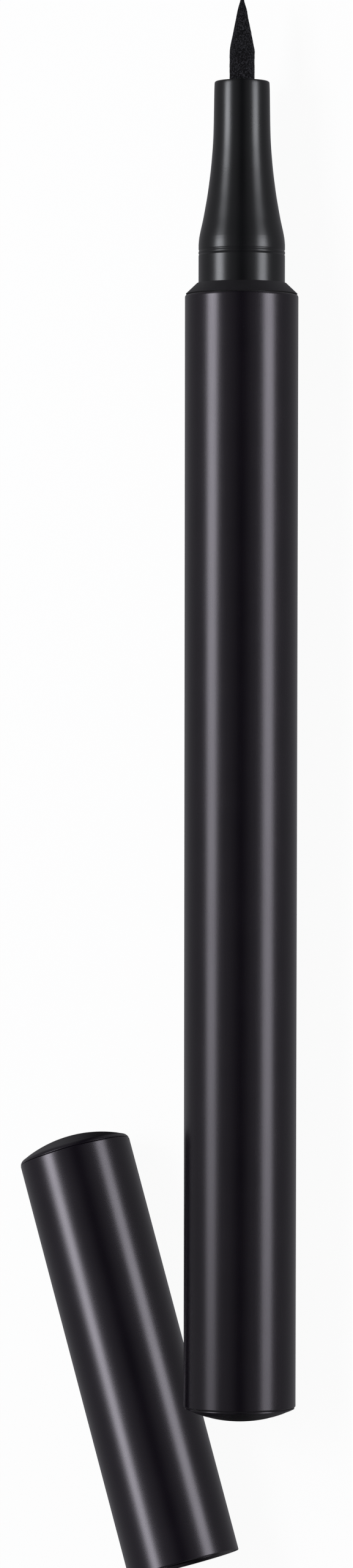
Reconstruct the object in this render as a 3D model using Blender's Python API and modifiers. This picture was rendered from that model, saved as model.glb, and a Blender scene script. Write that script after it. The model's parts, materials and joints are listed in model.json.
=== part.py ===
"""A felt-tip liquid eyeliner pen lying flat, with its cap off and lying beside its tail.

Every piece but the ball and the spring is turned about one of two axes. A turned piece is
drawn as an outline of (radius, height) points, where the height runs along the axis: on the
pen from the barrel's front edge towards the tip, on the cap from its mouth towards its dome.
"""

import math

import bmesh
import bpy

MM = 0.001

# Gaps between pieces
FIT_GAP = 0.1 * MM
SLIDE_GAP = 0.15 * MM
SEAM = 0.08 * MM

# Barrel: a moulded tube with a little draft, which is also the ink tank
BARREL_DIAMETER = 10.0 * MM
BARREL_DRAFT = 0.07 * MM
BARREL_LENGTH = 97.8 * MM
BARREL_WALL = 0.7 * MM
BARREL_EDGE = 0.1 * MM
TANK_STEP = 0.2 * MM

# Shoulder ring: the dull bevel between the barrel and the nose
BEVEL_HEIGHT = 0.95 * MM
BEVEL_INSET = 0.05 * MM
RING_WALL = 0.3 * MM
RING_SPIGOT_LENGTH = 5.0 * MM

# Nose: the trumpet-shaped front section, with a long skirt inside the barrel
NOSE_LENGTH = 18.8 * MM
NOSE_LIP_LENGTH = 2.0 * MM
NOSE_FRONT_WALL = 0.5 * MM
NOSE_EDGE = 0.12 * MM
NOSE_DRAFT = 0.04 * MM
NOSE_WALL = 0.7 * MM
STRAIGHT_LENGTH = 3.6 * MM
BEAD_HEIGHT = 3.42 * MM
BEAD_LENGTH = 0.34 * MM
BEAD_RISE = 0.03 * MM
BEAD_LAND = 0.4 * MM
GROOVE_DEPTH = 0.05 * MM
GROOVE_LENGTH = 0.12 * MM
COLLAR_GAP = 0.09 * MM
SKIRT_LENGTH = 17.0 * MM
SKIRT_WALL = 1.1 * MM
FLARE_SHARES = (
    (0.0, 0.0), (0.1, 0.022), (0.2, 0.063), (0.3, 0.127), (0.4, 0.205), (0.5, 0.306), (0.6, 0.42),
    (0.7, 0.56), (0.8, 0.713), (0.9, 0.893), (0.95, 0.965), (1.0, 1.0),
)

# Felt tip
TIP_DIAMETER = 2.2 * MM
TIP_BARE_LENGTH = 7.4 * MM
TIP_TAPER_LENGTH = 4.7 * MM
TIP_RECESS_DIAMETER = 1.2 * MM
TIP_RECESS_DEPTH = 1.6 * MM
TIP_TAPER_SHARES = (
    (0.0, 0.0), (0.02, 0.09), (0.09, 0.18), (0.2, 0.33), (0.4, 0.495), (0.6, 0.67), (0.75, 0.8),
    (0.9, 0.93), (0.97, 0.985), (1.0, 1.0),
)

# Sleeve that holds the tip in the nose
HOLDER_WALL = 0.65 * MM
HOLDER_FLANGE = 0.4 * MM
HOLDER_FLANGE_LENGTH = 0.7 * MM
HOLDER_LIP = 0.3 * MM
HOLDER_LIP_LENGTH = 0.8 * MM
AIR_GROOVE_WIDTH = 0.5 * MM
AIR_GROOVE_DEPTH = 0.25 * MM
AIR_GROOVES = 3

# Rubber rings in grooves, on the nose's skirt and on the tail plug
SEAL_THICKNESS = 0.6 * MM
SEAL_FROM_SKIRT_END = 5.2 * MM
SEAL_DEPTH_ON_PLUG = 3.6 * MM

# Fibre relay core, finned collector and overflow sponge
CORE_DIAMETER = 1.6 * MM
CORE_POINT_LENGTH = 1.8 * MM
CORE_POINT_REACH = 1.0 * MM
CORE_POINT_DIAMETER = 0.1 * MM
CORE_IN_TANK = 3.0 * MM
COLLECTOR_FRONT = 1.6 * MM
COLLECTOR_TUBE_WALL = 0.55 * MM
FIN_THICKNESS = 0.5 * MM
FIN_COUNT = 12
SLIT_WIDTH = 0.6 * MM
SLIT_INTO_TUBE = 0.2 * MM
SPONGE_LENGTH = 4.5 * MM

# Divider between the collector and the ink, and its gasket
GASKET_THICKNESS = 0.4 * MM
DIVIDER_THICKNESS = 1.4 * MM
DIVIDER_SPIGOT_LENGTH = 2.0 * MM

# Mixing ball
BALL_DIAMETER = 4.0 * MM

# Tail plug with its shallow dome
PLUG_INSET = 0.1 * MM
PLUG_RIM = 0.1 * MM
PLUG_DOME_HEIGHT = 1.1 * MM
PLUG_SKIRT_LENGTH = 6.4 * MM
PLUG_SKIRT_WALL = 1.2 * MM
PLUG_FLOOR = 1.0 * MM

# Cap shell and its domed end
CAP_PROUD = 0.025 * MM
CAP_CORNER_RADIUS = 0.6 * MM
CAP_SEAM_HEIGHT = 0.3 * MM
CAP_DOME_RADIUS = 10.9 * MM
CAP_MOUTH_BEVEL = 0.25 * MM
CAP_MOUTH_EDGE = 0.08 * MM
CAP_END_LENGTH = 8.2 * MM
CAP_END_WALL = 0.6 * MM
CAP_END_FLOOR = 2.4 * MM
SPRING_BOSS_LENGTH = 1.0 * MM

# Sleeve inside the cap, which grips the nose and guides the inner cap
SLEEVE_WALL = 0.35 * MM
SLEEVE_INSET = 2.0 * MM
GRIP_GAP = 0.14 * MM
GRIP_BEAD = 0.09 * MM
GRIP_BEAD_LENGTH = 0.6 * MM
GUIDE_LIP_LENGTH = 1.0 * MM

# Inner cap, its soft seal and its spring
INNER_CAP_TRAVEL = 1.5 * MM
INNER_CAP_ROOM = 0.3 * MM
INNER_CAP_WALL = 0.55 * MM
INNER_CAP_FLANGE_LENGTH = 0.8 * MM
INNER_CAP_LIP_LENGTH = 0.3 * MM
INNER_CAP_FLOOR = 0.8 * MM
TIP_ROOM = 2.3 * MM
SOFT_SEAL_WALL = 0.3 * MM
SOFT_SEAL_LENGTH = 0.9 * MM
SPRING_LENGTH = 9.45 * MM
SPRING_WIRE = 0.4 * MM
SPRING_DIAMETER = 4.8 * MM
SPRING_TURNS = 7

# Where the cap lies beside the pen
CAP_LEAN = math.radians(17.9)
CAP_SIDE_GAP = 0.16 * MM
CAP_BEHIND_TAIL = 14.3 * MM

# Fineness of the round shapes
OUTSIDE_STEPS = 40
INSIDE_STEPS = 24
SMALL_STEPS = 16
EDGE_STEPS = 3
DOME_STEPS = 5
SEAL_STEPS = 8
SPRING_POINTS_A_TURN = 10
FULL_TURN = 2 * math.pi
WELD = 0.001 * MM
CUT_OVERRUN = 0.5 * MM

# Radii of the pen, inwards from the barrel and outwards from the tip
barrel_radius = BARREL_DIAMETER / 2
tail_radius = barrel_radius - BARREL_DRAFT
front_bore = barrel_radius - BARREL_WALL
tank_bore = front_bore - TANK_STEP
skirt_radius = front_bore - FIT_GAP
ring_bore = skirt_radius - RING_WALL
collar_radius = ring_bore - COLLAR_GAP
skirt_bore = skirt_radius - SKIRT_WALL
skirt_groove = skirt_radius - SEAL_THICKNESS - FIT_GAP
tip_radius = TIP_DIAMETER / 2
holder_bore = tip_radius + FIT_GAP
holder_radius = holder_bore + HOLDER_WALL
holder_flange_radius = holder_radius + HOLDER_FLANGE
nose_front_radius = holder_radius + FIT_GAP + NOSE_FRONT_WALL
flare_radius = nose_front_radius + NOSE_DRAFT
core_radius = CORE_DIAMETER / 2
core_bore = core_radius + SLIDE_GAP
tube_radius = core_bore + COLLECTOR_TUBE_WALL
fin_radius = skirt_bore - SLIDE_GAP
plug_radius = tank_bore - FIT_GAP
plug_bore = plug_radius - PLUG_SKIRT_WALL
plug_groove = plug_radius - SEAL_THICKNESS - FIT_GAP
plug_rim_radius = tail_radius - PLUG_INSET

# Heights on the pen
tip_reach = NOSE_LENGTH + TIP_BARE_LENGTH
ring_top = SEAM + BEVEL_HEIGHT
bead_top = BEAD_HEIGHT + BEAD_LENGTH
flare_front = NOSE_LENGTH - STRAIGHT_LENGTH
flare_foot = bead_top + 2 * GROOVE_LENGTH + BEAD_LAND
holder_front = NOSE_LENGTH - NOSE_LIP_LENGTH - FIT_GAP
sponge_rear = COLLECTOR_FRONT + FIT_GAP
holder_rear = sponge_rear + SPONGE_LENGTH + FIT_GAP
tip_rear = holder_rear + HOLDER_LIP_LENGTH + FIT_GAP
skirt_groove_foot = -SKIRT_LENGTH + SEAL_FROM_SKIRT_END
skirt_groove_top = skirt_groove_foot + SEAL_THICKNESS + 2 * FIT_GAP
divider_spigot = -SKIRT_LENGTH + DIVIDER_SPIGOT_LENGTH
collector_rear = divider_spigot + FIT_GAP
gasket_front = -SKIRT_LENGTH - FIT_GAP
divider_front = gasket_front - GASKET_THICKNESS - FIT_GAP
divider_rear = divider_front - DIVIDER_THICKNESS
tank_front = divider_rear - FIT_GAP
plug_front = -BARREL_LENGTH + PLUG_SKIRT_LENGTH
plug_rim_foot = -BARREL_LENGTH - SEAM - PLUG_RIM
plug_apex = plug_rim_foot - PLUG_DOME_HEIGHT

# Radii of the cap
cap_radius = barrel_radius + CAP_PROUD
sleeve_bore = collar_radius + GRIP_GAP
sleeve_radius = sleeve_bore + SLEEVE_WALL
cap_bore = sleeve_radius + FIT_GAP
cap_mouth_radius = cap_bore + CAP_MOUTH_BEVEL
cap_end_radius = cap_bore - FIT_GAP
inner_cap_bore = nose_front_radius + INNER_CAP_ROOM
inner_cap_radius = inner_cap_bore + INNER_CAP_WALL
inner_cap_flange_radius = sleeve_bore - SLIDE_GAP
seal_seat_radius = inner_cap_bore + SOFT_SEAL_WALL
soft_seal_radius = seal_seat_radius - FIT_GAP
soft_seal_bore = soft_seal_radius - SOFT_SEAL_WALL
guide_lip_bore = inner_cap_radius + SLIDE_GAP
spring_radius = (SPRING_DIAMETER - SPRING_WIRE) / 2
boss_radius = spring_radius - SPRING_WIRE / 2 - SLIDE_GAP


def between(shares, place):
    """The second value of a table of shares at a place along its first, in straight lines."""
    for (left, low), (right, high) in zip(shares, shares[1:]):
        if place <= right:
            return low + (high - low) * (place - left) / (right - left)
    return shares[-1][1]


def nose_radius(height):
    """The nose's radius at a height in its flare."""
    place = (flare_front - height) / (flare_front - flare_foot)
    return flare_radius + (collar_radius - flare_radius) * between(FLARE_SHARES, place)


def nose_height(radius):
    """The height at which the nose's flare has this radius."""
    swapped = tuple((share, place) for place, share in FLARE_SHARES)
    place = between(swapped, (radius - flare_radius) / (collar_radius - flare_radius))
    return flare_front - (flare_front - flare_foot) * place


# The chamber in the nose that holds the sponge narrows to this radius behind the tip's holder
chamber_radius = max(holder_flange_radius + FIT_GAP, nose_radius(holder_rear) - NOSE_WALL)

# The closed cap's mouth stands on the shoulder ring's bevel, this far up from the barrel's edge
bevel_outer = barrel_radius - BEVEL_INSET
bevel_inner = ring_bore + BEVEL_INSET
bevel_slope = BEVEL_HEIGHT / (bevel_outer - bevel_inner)
cap_seat = SEAM + (bevel_outer - cap_mouth_radius + FIT_GAP) * bevel_slope

# Heights in the cap, with the inner cap pushed forward by its spring
inner_cap_mouth = nose_height(soft_seal_bore) - cap_seat - INNER_CAP_TRAVEL
inner_cap_flange = inner_cap_mouth + INNER_CAP_LIP_LENGTH
inner_cap_end = tip_reach + TIP_ROOM - cap_seat - INNER_CAP_TRAVEL + INNER_CAP_FLOOR
guide_lip_top = inner_cap_flange - FIT_GAP
spring_foot = inner_cap_end + FIT_GAP
cap_floor = spring_foot + SPRING_LENGTH + FIT_GAP
cap_length = cap_floor + CAP_END_FLOOR
cap_end_rear = cap_length - CAP_END_LENGTH
sleeve_rear = cap_end_rear - FIT_GAP


def arc(centre, radius, start, end, steps):
    """Points (radius, height) along an arc, with angles in degrees from the outward direction."""
    points = []
    for step in range(steps + 1):
        angle = math.radians(start + (end - start) * step / steps)
        points.append((centre[0] + radius * math.cos(angle), centre[1] + radius * math.sin(angle)))
    return points


def dome(apex, curve_radius, rim_radius, way):
    """Points of a shallow dome from its apex on the axis to its rim. Its way is 1 if it faces up."""
    points = []
    for step in range(DOME_STEPS + 1):
        radius = rim_radius * step / DOME_STEPS
        drop = curve_radius - math.sqrt(curve_radius ** 2 - radius ** 2)
        points.append((radius, apex - way * drop))
    return points


def finish(name, colour, roughness, metallic=0.0):
    material = bpy.data.materials.new(name)
    material.use_nodes = True
    shader = material.node_tree.nodes["Principled BSDF"]
    shader.inputs["Base Color"].default_value = (*colour, 1.0)
    shader.inputs["Roughness"].default_value = roughness
    shader.inputs["Metallic"].default_value = metallic
    return material


GLOSS_BLACK = ((0.004, 0.003, 0.005), 0.27)
SATIN_BLACK = ((0.005, 0.005, 0.006), 0.4)
FELT_BLACK = ((0.006, 0.006, 0.007), 0.95)
PALE_FIBRE = ((0.55, 0.53, 0.5), 0.95)
MILKY_PLASTIC = ((0.72, 0.72, 0.7), 0.45)
GREY_RUBBER = ((0.12, 0.12, 0.13), 0.8)
STEEL = ((0.62, 0.62, 0.64), 0.25, 1.0)


def empty(name, location, rotation):
    holder = bpy.data.objects.new(name, None)
    holder.location = location
    holder.rotation_euler = rotation
    helpers.objects.link(holder)
    return holder


def turned(name, outline, steps, axis, look, is_ring):
    """Turns an outline about the axis. It runs down the outer side, and a ring's then up the bore."""
    mesh = bpy.data.meshes.new(name)
    edges = [(i, i + 1) for i in range(len(outline) - 1)]
    if is_ring:
        edges.append((len(outline) - 1, 0))
    mesh.from_pydata([(radius, 0, height) for radius, height in outline], edges, [])
    piece = bpy.data.objects.new(name, mesh)
    piece.parent = axis
    piece.data.materials.append(finish(name, *look))
    screw = piece.modifiers.new("Turn", "SCREW")
    screw.axis = "Z"
    screw.angle = FULL_TURN
    screw.steps = steps
    screw.render_steps = steps
    screw.use_merge_vertices = True
    screw.merge_threshold = WELD
    screw.use_smooth_shade = True
    pieces.objects.link(piece)
    return piece


def cut_box(piece, name, axis, size, place, angle):
    """Cuts a box from a piece. Its place is (distance from the axis, height), turned by the angle."""
    mesh = bpy.data.meshes.new(name)
    shape = bmesh.new()
    bmesh.ops.create_cube(shape, size=1.0)
    bmesh.ops.scale(shape, vec=size, verts=shape.verts)
    shape.to_mesh(mesh)
    shape.free()
    cutter = bpy.data.objects.new(name, mesh)
    cutter.parent = axis
    cutter.location = (place[0] * math.cos(angle), place[0] * math.sin(angle), place[1])
    cutter.rotation_euler = (0, 0, angle)
    cutter.hide_render = True
    cutter.display_type = "WIRE"
    helpers.objects.link(cutter)
    cut = piece.modifiers.new(name, "BOOLEAN")
    cut.operation = "DIFFERENCE"
    cut.object = cutter


def seal_ring(name, axis, groove_radius, groove_foot):
    """A round rubber ring lying in a groove."""
    radius = SEAL_THICKNESS / 2
    centre = (groove_radius + FIT_GAP / 2 + radius, groove_foot + FIT_GAP + radius)
    outline = arc(centre, radius, 90, -270, SEAL_STEPS)[:-1]
    turned(name, outline, INSIDE_STEPS, axis, GREY_RUBBER, True)


def make_barrel(axis):
    rear = -BARREL_LENGTH
    outline = [
        (barrel_radius - BARREL_EDGE, 0),
        (barrel_radius, -BARREL_EDGE),
        (tail_radius, rear + BARREL_EDGE),
        (tail_radius - BARREL_EDGE, rear),
        (tank_bore, rear),
        (tank_bore, tank_front),
        (front_bore, tank_front),
        (front_bore, 0),
    ]
    turned("barrel", outline, OUTSIDE_STEPS, axis, GLOSS_BLACK, True)


def make_shoulder_ring(axis):
    outline = [
        (bevel_inner, ring_top),
        (bevel_outer, SEAM),
        (skirt_radius, SEAM),
        (skirt_radius, -RING_SPIGOT_LENGTH),
        (ring_bore, -RING_SPIGOT_LENGTH),
        (ring_bore, ring_top),
    ]
    turned("shoulder_ring", outline, OUTSIDE_STEPS, axis, SATIN_BLACK, True)


def nose_outside():
    """From the front face down over the flare, the bead and the collar to the skirt's end."""
    edge_centre = (nose_front_radius - NOSE_EDGE, NOSE_LENGTH - NOSE_EDGE)
    outline = arc(edge_centre, NOSE_EDGE, 90, 0, EDGE_STEPS)
    for place, _ in FLARE_SHARES:
        height = flare_front - place * (flare_front - flare_foot)
        outline.append((nose_radius(height), height))
    outline += [
        (collar_radius, bead_top + 2 * GROOVE_LENGTH),
        (collar_radius - GROOVE_DEPTH, bead_top + GROOVE_LENGTH),
        (collar_radius, bead_top),
        (collar_radius + BEAD_RISE, bead_top - BEAD_LENGTH / 2),
        (collar_radius, BEAD_HEIGHT),
        (collar_radius - GROOVE_DEPTH, BEAD_HEIGHT - GROOVE_LENGTH / 2),
        (collar_radius, BEAD_HEIGHT - GROOVE_LENGTH),
    ]
    flange_top = -RING_SPIGOT_LENGTH - FIT_GAP
    outline += [
        (collar_radius, flange_top),
        (skirt_radius, flange_top),
        (skirt_radius, skirt_groove_top),
        (skirt_groove, skirt_groove_top),
        (skirt_groove, skirt_groove_foot),
        (skirt_radius, skirt_groove_foot),
        (skirt_radius, -SKIRT_LENGTH),
    ]
    return outline


def make_nose(axis):
    flange_bore = holder_flange_radius + FIT_GAP
    flange_foot = holder_rear - FIT_GAP / 2
    flange_seat = holder_rear + HOLDER_FLANGE_LENGTH + FIT_GAP
    bore_end = holder_front + FIT_GAP
    inside = [
        (skirt_bore, -SKIRT_LENGTH),
        (skirt_bore, flare_foot),
        (chamber_radius, flange_foot),
        (flange_bore, flange_foot),
        (flange_bore, flange_seat),
        (holder_radius + FIT_GAP, flange_seat),
        (holder_radius + FIT_GAP, bore_end),
        (tip_radius + FIT_GAP, bore_end),
        (tip_radius + FIT_GAP, NOSE_LENGTH),
    ]
    turned("nose", nose_outside() + inside, OUTSIDE_STEPS, axis, GLOSS_BLACK, True)
    seal_ring("front_seal", axis, skirt_groove, skirt_groove_foot)


def make_felt_tip(axis):
    outline = []
    for place, width in TIP_TAPER_SHARES:
        outline.append((tip_radius * width, tip_reach - TIP_TAPER_LENGTH * place))
    outline += [
        (tip_radius, tip_rear),
        (TIP_RECESS_DIAMETER / 2, tip_rear),
        (0, tip_rear + TIP_RECESS_DEPTH),
    ]
    turned("felt_tip", outline, INSIDE_STEPS, axis, FELT_BLACK, False)


def make_tip_holder(axis):
    """A sleeve with an inner lip behind the tip and grooves along it that let air in."""
    flange_top = holder_rear + HOLDER_FLANGE_LENGTH
    lip_top = holder_rear + HOLDER_LIP_LENGTH
    outline = [
        (holder_radius, holder_front),
        (holder_radius, flange_top),
        (holder_flange_radius, flange_top),
        (holder_flange_radius, holder_rear),
        (holder_bore - HOLDER_LIP, holder_rear),
        (holder_bore - HOLDER_LIP, lip_top),
        (holder_bore, lip_top),
        (holder_bore, holder_front),
    ]
    holder = turned("tip_holder", outline, INSIDE_STEPS, axis, MILKY_PLASTIC, True)
    width = HOLDER_FLANGE + AIR_GROOVE_DEPTH + CUT_OVERRUN
    size = (width, AIR_GROOVE_WIDTH, holder_front - holder_rear + 2 * CUT_OVERRUN)
    place = (holder_radius - AIR_GROOVE_DEPTH + width / 2, (holder_front + holder_rear) / 2)
    for groove in range(AIR_GROOVES):
        cut_box(holder, f"air_groove_{groove + 1}", axis, size, place, FULL_TURN * groove / AIR_GROOVES)


def make_sponge(axis):
    top = holder_rear - FIT_GAP
    outline = [
        (chamber_radius - FIT_GAP, top),
        (skirt_bore - FIT_GAP, min(flare_foot, top)),
        (skirt_bore - FIT_GAP, sponge_rear),
        (tube_radius + FIT_GAP, sponge_rear),
        (tube_radius + FIT_GAP, top),
    ]
    turned("overflow_sponge", outline, INSIDE_STEPS, axis, PALE_FIBRE, True)


def make_collector(axis):
    """A tube with a row of thin fins, slit along one side so that air and ink can pass."""
    length = COLLECTOR_FRONT - collector_rear
    pitch = (length - FIN_THICKNESS) / (FIN_COUNT - 1)
    tube_front = holder_rear - FIT_GAP
    outline = [(tube_radius, tube_front)]
    for fin in range(FIN_COUNT):
        top = COLLECTOR_FRONT - fin * pitch
        foot = top - FIN_THICKNESS
        outline += [(tube_radius, top), (fin_radius, top), (fin_radius, foot), (tube_radius, foot)]
    outline[-1] = (core_bore, collector_rear)
    outline.append((core_bore, tube_front))
    collector = turned("collector", outline, INSIDE_STEPS, axis, MILKY_PLASTIC, True)
    width = fin_radius - tube_radius + SLIT_INTO_TUBE + CUT_OVERRUN
    size = (width, SLIT_WIDTH, length + 2 * CUT_OVERRUN)
    place = (tube_radius - SLIT_INTO_TUBE + width / 2, (COLLECTOR_FRONT + collector_rear) / 2)
    cut_box(collector, "collector_slit", axis, size, place, 0)


def make_relay_core(axis):
    point_front = tip_rear + CORE_POINT_REACH
    outline = [
        (0, point_front),
        (CORE_POINT_DIAMETER / 2, point_front),
        (core_radius, point_front - CORE_POINT_LENGTH),
        (core_radius, divider_rear - CORE_IN_TANK),
        (0, divider_rear - CORE_IN_TANK),
    ]
    turned("relay_core", outline, SMALL_STEPS, axis, PALE_FIBRE, False)


def make_divider(axis):
    gasket = [
        (skirt_radius, gasket_front),
        (skirt_radius, gasket_front - GASKET_THICKNESS),
        (skirt_bore, gasket_front - GASKET_THICKNESS),
        (skirt_bore, gasket_front),
    ]
    turned("divider_gasket", gasket, INSIDE_STEPS, axis, GREY_RUBBER, True)
    outline = [
        (skirt_bore - FIT_GAP, divider_spigot),
        (skirt_bore - FIT_GAP, divider_front),
        (skirt_radius, divider_front),
        (skirt_radius, divider_rear),
        (core_bore, divider_rear),
        (core_bore, divider_spigot),
    ]
    turned("tank_divider", outline, INSIDE_STEPS, axis, MILKY_PLASTIC, True)


def make_ball(axis):
    """A steel ball that lies on the tank's wall, against the tail plug."""
    radius = BALL_DIAMETER / 2
    mesh = bpy.data.meshes.new("mixing_ball")
    shape = bmesh.new()
    bmesh.ops.create_uvsphere(
        shape, u_segments=INSIDE_STEPS, v_segments=SMALL_STEPS, radius=radius)
    shape.to_mesh(mesh)
    shape.free()
    mesh.shade_smooth()
    ball = bpy.data.objects.new("mixing_ball", mesh)
    ball.parent = axis
    ball.location = (0, tank_bore - FIT_GAP - radius, plug_front + FIT_GAP + radius)
    ball.data.materials.append(finish("mixing_ball", *STEEL))
    pieces.objects.link(ball)


def make_tail_plug(axis):
    curve_radius = (plug_rim_radius ** 2 + PLUG_DOME_HEIGHT ** 2) / (2 * PLUG_DOME_HEIGHT)
    groove_foot = plug_front - SEAL_DEPTH_ON_PLUG
    groove_top = groove_foot + SEAL_THICKNESS + 2 * FIT_GAP
    outline = [
        (0, -BARREL_LENGTH + PLUG_FLOOR),
        (plug_bore, -BARREL_LENGTH + PLUG_FLOOR),
        (plug_bore, plug_front),
        (plug_radius, plug_front),
        (plug_radius, groove_top),
        (plug_groove, groove_top),
        (plug_groove, groove_foot),
        (plug_radius, groove_foot),
        (plug_radius, -BARREL_LENGTH - SEAM),
        (plug_rim_radius, -BARREL_LENGTH - SEAM),
    ]
    outline += reversed(dome(plug_apex, curve_radius, plug_rim_radius, -1))
    turned("tail_plug", outline, OUTSIDE_STEPS, axis, GLOSS_BLACK, False)
    seal_ring("tail_seal", axis, plug_groove, groove_foot)


def corner_arc(start_height, end_height):
    """Points on the cap's rounded corner between two heights above the corner's foot."""
    reach = CAP_DOME_RADIUS - CAP_CORNER_RADIUS
    corner_radius = cap_radius - CAP_CORNER_RADIUS
    foot = cap_length - CAP_DOME_RADIUS + math.sqrt(reach ** 2 - corner_radius ** 2)
    start = math.degrees(math.asin(start_height / CAP_CORNER_RADIUS))
    end = math.degrees(math.asin(end_height / CAP_CORNER_RADIUS))
    return arc((corner_radius, foot), CAP_CORNER_RADIUS, start, end, EDGE_STEPS)


def shell_outside():
    """The cap shell's outline from its rear edge, over the corner's lower part, to its mouth."""
    corner = corner_arc(CAP_SEAM_HEIGHT, 0)
    return [(cap_bore, corner[0][1]), *corner, (cap_radius, CAP_MOUTH_EDGE),
            (cap_radius - CAP_MOUTH_EDGE, 0)]


def cap_end_top():
    """The domed end's outline from its apex to its rim, which lies on the shell's rear edge."""
    reach = CAP_DOME_RADIUS - CAP_CORNER_RADIUS
    corner_radius = cap_radius - CAP_CORNER_RADIUS
    dome_foot = CAP_CORNER_RADIUS * math.sqrt(reach ** 2 - corner_radius ** 2) / reach
    rim = corner_arc(dome_foot, CAP_SEAM_HEIGHT + SEAM)
    return dome(cap_length, CAP_DOME_RADIUS, rim[0][0], 1)[:-1] + rim


def make_cap_shell(axis):
    """A straight tube with the lower part of the cap's rounded corner at its closed end."""
    inside = [(cap_mouth_radius, 0), (cap_bore, CAP_MOUTH_BEVEL)]
    turned("cap_shell", shell_outside() + inside, OUTSIDE_STEPS, axis, GLOSS_BLACK, True)


def make_cap_end(axis):
    """A domed plug whose rim lies on the shell's end."""
    top = cap_end_top()
    outline = top + [
        (cap_end_radius, top[-1][1]),
        (cap_end_radius, cap_end_rear),
        (cap_end_radius - CAP_END_WALL, cap_end_rear),
        (cap_end_radius - CAP_END_WALL, cap_floor),
        (boss_radius, cap_floor),
        (boss_radius, cap_floor - SPRING_BOSS_LENGTH),
        (0, cap_floor - SPRING_BOSS_LENGTH),
    ]
    turned("cap_end", outline, OUTSIDE_STEPS, axis, GLOSS_BLACK, False)


def make_cap_sleeve(axis):
    bead_foot = SLEEVE_INSET + GRIP_BEAD_LENGTH
    lip_foot = guide_lip_top - GUIDE_LIP_LENGTH
    outline = [
        (sleeve_radius, sleeve_rear),
        (sleeve_radius, SLEEVE_INSET),
        (sleeve_bore, SLEEVE_INSET),
        (sleeve_bore, bead_foot),
        (sleeve_bore - GRIP_BEAD, bead_foot + GRIP_BEAD_LENGTH / 2),
        (sleeve_bore, bead_foot + GRIP_BEAD_LENGTH),
        (sleeve_bore, lip_foot),
        (guide_lip_bore, lip_foot),
        (guide_lip_bore, guide_lip_top),
        (sleeve_bore, guide_lip_top),
        (sleeve_bore, sleeve_rear),
    ]
    turned("cap_sleeve", outline, INSIDE_STEPS, axis, SATIN_BLACK, True)


def make_inner_cap(axis):
    seat = inner_cap_mouth + SOFT_SEAL_LENGTH + FIT_GAP
    flange_top = inner_cap_flange + INNER_CAP_FLANGE_LENGTH
    outline = [
        (0, inner_cap_end + SPRING_BOSS_LENGTH),
        (boss_radius, inner_cap_end + SPRING_BOSS_LENGTH),
        (boss_radius, inner_cap_end),
        (inner_cap_radius, inner_cap_end),
        (inner_cap_radius, flange_top),
        (inner_cap_flange_radius, flange_top),
        (inner_cap_flange_radius, inner_cap_flange),
        (inner_cap_radius, inner_cap_flange),
        (inner_cap_radius, inner_cap_mouth),
        (seal_seat_radius, inner_cap_mouth),
        (seal_seat_radius, seat),
        (inner_cap_bore, seat),
        (inner_cap_bore, inner_cap_end - INNER_CAP_FLOOR),
        (0, inner_cap_end - INNER_CAP_FLOOR),
    ]
    turned("inner_cap", outline, INSIDE_STEPS, axis, MILKY_PLASTIC, False)
    seal = [
        (soft_seal_radius, inner_cap_mouth + SOFT_SEAL_LENGTH),
        (soft_seal_radius, inner_cap_mouth),
        (soft_seal_bore, inner_cap_mouth),
        (soft_seal_bore, inner_cap_mouth + SOFT_SEAL_LENGTH),
    ]
    turned("inner_cap_seal", seal, INSIDE_STEPS, axis, GREY_RUBBER, True)


def make_spring(axis):
    """An open coil between the inner cap's closed end and the cap's domed end."""
    wire_radius = SPRING_WIRE / 2
    pitch = (SPRING_LENGTH - SPRING_WIRE) / SPRING_TURNS
    count = SPRING_TURNS * SPRING_POINTS_A_TURN
    curve = bpy.data.curves.new("cap_spring", "CURVE")
    curve.dimensions = "3D"
    curve.bevel_depth = wire_radius
    curve.bevel_resolution = 1
    curve.use_fill_caps = True
    coil = curve.splines.new("POLY")
    coil.points.add(count)
    for step in range(count + 1):
        turn = step / SPRING_POINTS_A_TURN
        angle = FULL_TURN * turn
        height = spring_foot + wire_radius + pitch * turn
        coil.points[step].co = (
            spring_radius * math.cos(angle), spring_radius * math.sin(angle), height, 1)
    spring = bpy.data.objects.new("cap_spring", curve)
    spring.parent = axis
    spring.data.materials.append(finish("cap_spring", *STEEL))
    pieces.objects.link(spring)
    print(f"The spring's turns lie {(pitch - SPRING_WIRE) / MM:.2f} mm apart.")


def mouth_place():
    """The middle of the cap's mouth, seen from the barrel's front edge on the pen's axis."""
    clear = cap_radius + CAP_SIDE_GAP
    side = (clear - CAP_BEHIND_TAIL * math.sin(CAP_LEAN)) / math.cos(CAP_LEAN)
    return -tail_radius - side, -BARREL_LENGTH - CAP_BEHIND_TAIL


def middle(mouth):
    """The middle of the box round the pen and the cap, as they lie."""
    lean_sine = math.sin(CAP_LEAN)
    lean_cosine = math.cos(CAP_LEAN)
    outline = shell_outside() + cap_end_top()
    left = min(mouth[0] - height * lean_sine - radius * lean_cosine for radius, height in outline)
    rear = min(mouth[1] + height * lean_cosine - radius * lean_sine for radius, height in outline)
    return (left + barrel_radius) / 2, (min(rear, plug_apex) + tip_reach) / 2


for old in list(bpy.data.objects):
    bpy.data.objects.remove(old, do_unlink=True)
pieces = bpy.data.collections.new("eyeliner")
helpers = bpy.data.collections.new("cutters")
bpy.context.scene.collection.children.link(pieces)
bpy.context.scene.collection.children.link(helpers)

mouth_x, mouth_y = mouth_place()
middle_x, middle_y = middle((mouth_x, mouth_y))
pen_place = (-middle_x, -middle_y, barrel_radius)
cap_place = (mouth_x - middle_x, mouth_y - middle_y, cap_radius)
pen_axis = empty("pen_axis", pen_place, (-math.pi / 2, 0, 0))
cap_axis = empty("cap_axis", cap_place, (-math.pi / 2, 0, CAP_LEAN))

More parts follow.
